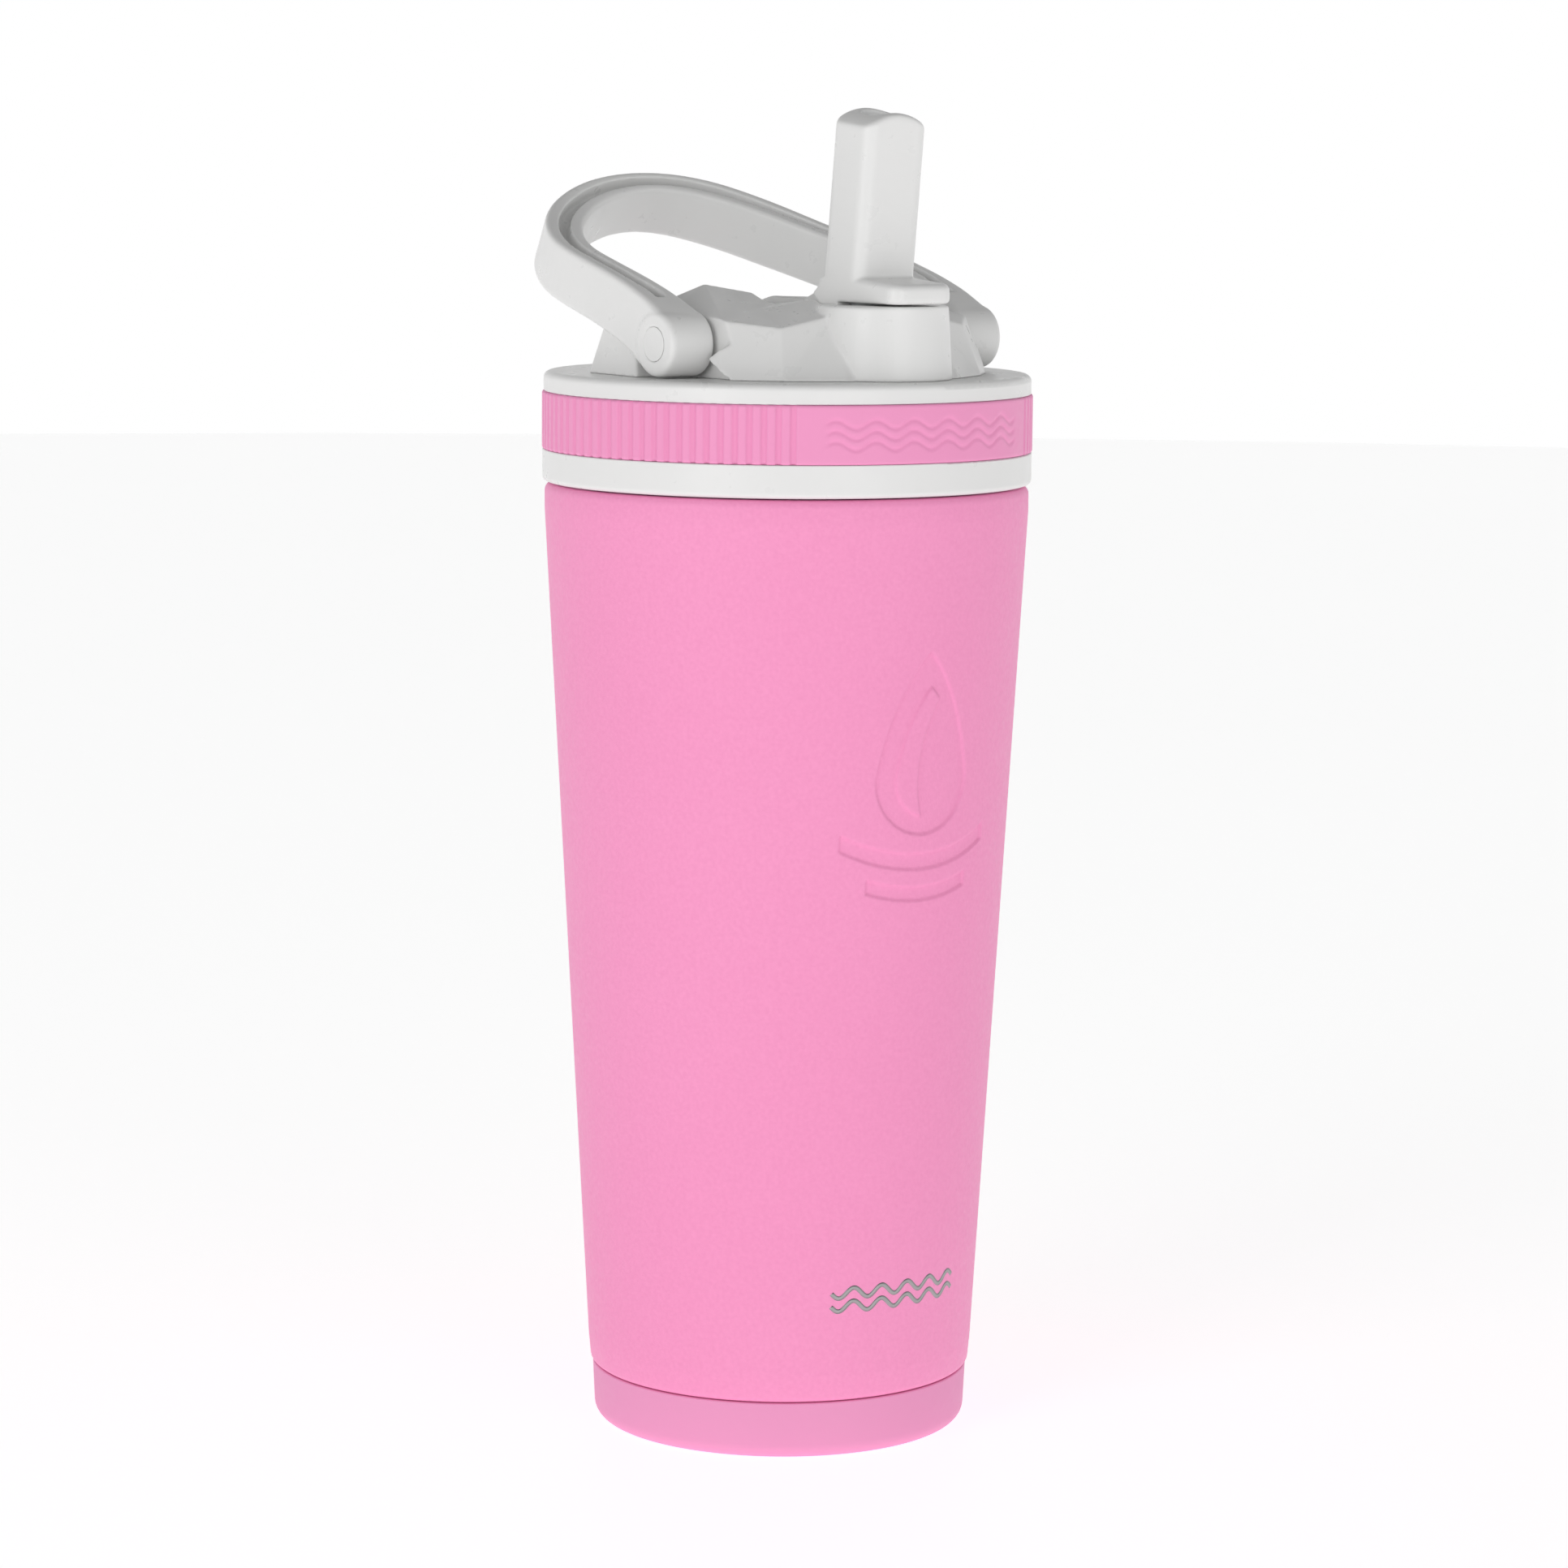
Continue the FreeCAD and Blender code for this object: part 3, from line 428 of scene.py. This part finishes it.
def drop_distance(x, y, belly, rise):
    """Distance, roughly, outside the outline of a water drop: a round belly under a point."""
    if y <= 0:
        return math.hypot(x, y) - belly
    if y >= rise:
        return math.hypot(x, y - rise)
    share = y / rise
    half = belly * (1 - share) ** 0.8 * (1 + 0.45 * share)
    return (abs(x) - half) * 0.85


def emblem_depth(x, y):
    """0 to 1: how deep the generic drop and its two ripples are pressed in, at x, y mm from the middle."""
    y -= DROP_LIFT
    drop = drop_distance(x, y, DROP_BELLY, DROP_RISE)
    inner = drop_distance(x - 0.8, y, INNER_BELLY, INNER_RISE)
    highlight = max(inner, x + 1.6 - 0.02 * y * y)
    depth = step(drop, EMBLEM_EDGE) * (1 - step(highlight, EMBLEM_EDGE))
    for level, half_length, half_thickness in RIPPLES:
        middle = level + RIPPLE_BEND * x * x
        ripple = max(abs(y - middle) - half_thickness, abs(x) - half_length)
        depth = max(depth, step(ripple, EMBLEM_EDGE))
    return depth


def thread_ridge(base):
    """(points, faces) of the neck's rolled right-hand thread, which tapers into it at both ends.

    base is the number of the ridge's first point in the mesh that it joins.
    """
    points = []
    faces = []
    steps = int(96 * THREAD_TURNS)
    run_in = 6
    profile = [(-0.3, -1.1), (1.0, -0.45), (1.0, 0.45), (-0.3, 1.1)]
    for k in range(steps + 1):
        turns = THREAD_TURNS * k / steps
        swell = min(1.0, k / run_in, (steps - k) / run_in)
        z = NECK_THREAD_Z + THREAD_PITCH * turns
        for out, up in profile:
            height = out * THREAD_HEIGHT * swell if out > 0 else out
            # the ridge starts on the +X side, as the CAD thread does
            points.append(polar(NECK_R + height, 90 + 360 * turns, z + up * (0.4 + 0.6 * swell)))
    for k in range(steps):
        for j in range(4):
            a, b = base + 4 * k + j, base + 4 * k + (j + 1) % 4
            faces.append((a, b, b + 4, a + 4))
    faces.append(tuple(base + j for j in range(4)))
    faces.append(tuple(base + 4 * steps + 3 - j for j in range(4)))
    return points, faces


def shell_outline():
    """Closed section of the outer wall, with close rows of points where the emblem is."""
    top_r, top_z = TAPER_TOP
    knee_z = 16.0
    inner_r = top_r - SKIN
    neck_inner_r = NECK_R - SKIN
    recess_inner_r = FOOT_RECESS_R - SKIN
    corners = rounded([
        (recess_inner_r, FOOT_UNDER_Z), (FOOT_RECESS_R, FOOT_UNDER_Z), (FOOT_RECESS_R, FOOT_Z),
        (FOOT_R, FOOT_Z, 1.2), (taper_r(knee_z), knee_z, 3.0), (top_r, top_z, 15.0),
        (top_r, SHOULDER_Z, 1.5), (NECK_R, SHOULDER_Z, 0.3), (NECK_R, NECK_TOP_Z),
        (neck_inner_r, NECK_TOP_Z), (neck_inner_r, SHOULDER_Z - SKIN), (inner_r, SHOULDER_Z - SKIN, 1.0),
        (inner_r, top_z), (taper_r(knee_z) - SKIN, knee_z), (35.3, FOOT_Z + SKIN),
        (recess_inner_r, FOOT_Z + SKIN),
    ], 6)
    reach_z = EMBLEM_REACH[1]
    step_z = FINE_STEP[1]
    rows = [EMBLEM_Z - reach_z + step_z * k for k in range(int(2 * reach_z / step_z) + 1)]
    outline = []
    for a, b in zip(corners, corners[1:] + corners[:1]):
        outline.append(a)
        on_taper = a.x > 36 and b.x > a.x and b.y - a.y > 20
        if on_taper:
            outline += [Vector((a.x + (b.x - a.x) * (z - a.y) / (b.y - a.y), z)) for z in rows]
    return outline


def make_outer_shell():
    reach_x, reach_z = EMBLEM_REACH

    def shift(r, z, azimuth):
        if abs(z - EMBLEM_Z) > reach_z or r < taper_r(z) - SKIN / 2:
            return 0.0
        x = math.radians((azimuth + 180) % 360 - 180) * taper_r(z)
        return -EMBLEM_DEPTH * emblem_depth(x, z - EMBLEM_Z) if abs(x) < reach_x else 0.0

    half_patch = math.degrees(reach_x / taper_r(EMBLEM_Z))
    fine = int(2 * reach_x / FINE_STEP[0])
    rest = 360 - 2 * half_patch
    azimuths = [-half_patch + 2 * half_patch * k / fine for k in range(fine)]
    azimuths += [half_patch + rest * k / COARSE_COLUMNS for k in range(COARSE_COLUMNS)]
    points, faces = lathe(shell_outline(), azimuths, shift)
    ridge_points, ridge_faces = thread_ridge(len(points))
    shell = new_piece("vessel_outer_wall", points + ridge_points, faces + ridge_faces,
                      "vessel", powder_coat())
    # the coating stops at the shoulder; the neck, its thread and the inside are bare steel
    shell.data.materials.append(liner_steel)
    for face in shell.data.polygons:
        middle = face.center / MM
        radial = Vector((middle.x, middle.y, 0)).normalized()
        outside = face.normal.dot(radial) > 0.05 or face.normal.z > 0.5
        in_foot = middle.z < 16
        if middle.z > SHOULDER_Z + 0.2 or not (outside or in_foot):
            face.material_index = 1
    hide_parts("outer_shell")


MARK_HEIGHTS = (29.4, 31.9)
MARK_HALF_LENGTH = 14.5
MARK_AMPLITUDE = 0.95
MARK_WAVE = 5.8
MARK_STROKE = 0.85
MARK_LAYERS = (0.04, -0.2)          # outer and inner face, off the wall's surface
MARK_COLUMNS = 140


def make_etched_marks():
    """Two bright wavy lines near the foot, thin plates that follow the wall."""
    points = []
    faces = []
    columns = MARK_COLUMNS
    for middle in MARK_HEIGHTS:
        base = len(points)
        for layer in MARK_LAYERS:
            for k in range(columns + 1):
                x = -MARK_HALF_LENGTH + 2 * MARK_HALF_LENGTH * k / columns
                slope = MARK_AMPLITUDE * TAU / MARK_WAVE * math.cos(TAU * x / MARK_WAVE)
                crest = middle + MARK_AMPLITUDE * math.sin(TAU * x / MARK_WAVE)
                for side in (-0.5, 0.5):
                    # offset square to the line, so that the stroke keeps its width
                    offset = side * MARK_STROKE / math.hypot(1.0, slope)
                    along = x - offset * slope
                    z = crest + offset
                    points.append(polar(taper_r(z) + layer, math.degrees(along / taper_r(z)), z))
        layer_size = 2 * (columns + 1)
        for k in range(columns):
            a = base + 2 * k
            faces.append((a, a + 2, a + 3, a + 1))
            faces.append(tuple(v + layer_size for v in (a, a + 1, a + 3, a + 2)))
            faces.append((a, a + layer_size, a + 2 + layer_size, a + 2))
            faces.append((a + 1, a + 3, a + 3 + layer_size, a + 1 + layer_size))
        for a in (base, base + 2 * columns):
            faces.append((a, a + 1, a + 1 + layer_size, a + layer_size))
    steel = brushed_steel("etched_steel", 0.35, 0.5, (1, 1, 1), 0.4)
    new_piece("etched_marks", points, faces, "vessel", steel)


def make_boot():
    inner_r = FOOT_RECESS_R + 0.05
    outline = rounded([
        (0, 0), (BOOT_FOOT_R, 0, 3.0), (BOOT_TOP_R, BOOT_TOP, 0.3),
        (inner_r, BOOT_TOP, 0.2), (inner_r, BOOT_FLOOR), (0, BOOT_FLOOR),
    ], 8)
    points, faces = lathe(outline, [360 * k / 256 for k in range(256)])
    rubber = soft_rubber("boot_silicone", srgb(238, 157, 199), srgb(234, 153, 195), 0.6)
    boot = new_piece("base_boot_skin", points, faces, "vessel", rubber)
    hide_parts("base_boot")


# ---------------------------------------------------------------- grip band
RIB_PITCH = (360 - 2 * SMOOTH_HALF_ANGLE) / RIB_COUNT
RIB_COLUMNS = 12
GROOVE_DEPTH = 0.45
GROOVE_HALF = 0.24                  # half width of a groove between two ribs, as a share of the pitch
PLAIN_COLUMNS = 200
BAND_ROWS = 34
BAND_ROUNDING = 0.35
WAVE_OFFSETS = (-1.9, 0.0, 1.9)
WAVE_AMPLITUDE = 0.75
WAVE_LENGTH = 7.6
WAVE_HALF_THICKNESS = 0.33
WAVE_EDGE = 0.22
WAVE_DEPTH = 0.22
WAVE_REACH = 28.0                   # degrees each side of the front


def band_relief(angle, z):
    """Radius change of the band: grooves round the ribs, and three pressed waves on the plain front."""
    if SMOOTH_HALF_ANGLE < angle < 360 - SMOOTH_HALF_ANGLE:
        phase = ((angle - SMOOTH_HALF_ANGLE) / RIB_PITCH) % 1.0
        return -GROOVE_DEPTH * max(0.0, 1 - ((phase - 0.5) / GROOVE_HALF) ** 2) ** 0.7
    if abs(angle) > WAVE_REACH + 1 or angle > 180:
        return 0.0
    x = math.radians(angle) * BAND_R
    middle = (BAND_TOP_Z - BAND_LOW_Z) / 2
    waves = 0.0
    for offset in WAVE_OFFSETS:
        crest = middle + offset + WAVE_AMPLITUDE * math.sin(x * TAU / WAVE_LENGTH)
        waves = max(waves, step(abs(z - crest) - WAVE_HALF_THICKNESS, WAVE_EDGE))
    fade = step(abs(angle) - WAVE_REACH, 0.9)
    return -WAVE_DEPTH * waves * fade


def make_grip_band():
    plain = 2 * SMOOTH_HALF_ANGLE
    angles = [SMOOTH_HALF_ANGLE + RIB_PITCH * k / RIB_COLUMNS for k in range(RIB_COUNT * RIB_COLUMNS + 1)]
    angles += [-SMOOTH_HALF_ANGLE + plain * k / PLAIN_COLUMNS for k in range(1, PLAIN_COLUMNS)]
    height = BAND_TOP_Z - BAND_LOW_Z
    flat = height - 2 * BAND_ROUNDING
    # (height, inset) of each row, with both edges rounded in three steps
    rows = [(0.0, BAND_ROUNDING), (0.1, 0.12), (BAND_ROUNDING, 0.0)]
    rows += [(BAND_ROUNDING + flat * k / BAND_ROWS, 0.0) for k in range(1, BAND_ROWS)]
    rows += [(height - BAND_ROUNDING, 0.0), (height - 0.1, 0.12), (height, BAND_ROUNDING)]

    points = []
    faces = []
    columns = len(angles)
    for z, inset in rows:
        for angle in angles:
            points.append(polar(BAND_R - inset + band_relief(angle, z), angle, BAND_LOW_Z + z))
    for z in (height, 0.0):
        for angle in angles:
            points.append(polar(BAND_SEAT_R, angle, BAND_LOW_Z + z))
    loops = len(rows) + 2
    for i in range(loops):
        for k in range(columns):
            a = i * columns + k
            b = i * columns + (k + 1) % columns
            up = ((i + 1) % loops - i) * columns
            faces.append((a, b, b + up, a + up))
    rubber = soft_rubber("band_silicone", srgb(245, 156, 201), srgb(241, 152, 197), 0.45)
    band = new_piece("grip_band_skin", points, faces, "lid", rubber)
    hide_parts("grip_band")


# ---------------------------------------------------------------- build
white = moulded_white()
silicone = translucent_silicone()
liner_steel = brushed_steel("liner_steel", 0.2, 0.34, (1, 1, 0.02))
pin_steel = brushed_steel("pin_steel", 0.15, 0.25, (0.1, 1, 1))

make_camera()
make_stage()
make_outer_shell()
make_etched_marks()
make_boot()
make_grip_band()

for node in ("lid_body", "handle", "handle_pin_left", "handle_pin_right", "dome_cover", "spout"):
    dress(node, white)
for node in ("lid_gasket", "straw_grommet", "vent_valve", "spout_tube", "spout_seal"):
    dress(node, silicone)
for node in ("inner_vessel", "base_plate", "vacuum_plug", "getter"):
    dress(node, liner_steel)
dress("spout_pin", pin_steel)
dress("straw", straw_plastic())
dress("agitator", soft_rubber("grid_plastic", srgb(240, 150, 196), srgb(236, 146, 192), 0.4))

soften("dome_cover", 0.3, 9)
soften("spout", 0.22, 22)
soften("handle", 0.28, 7)
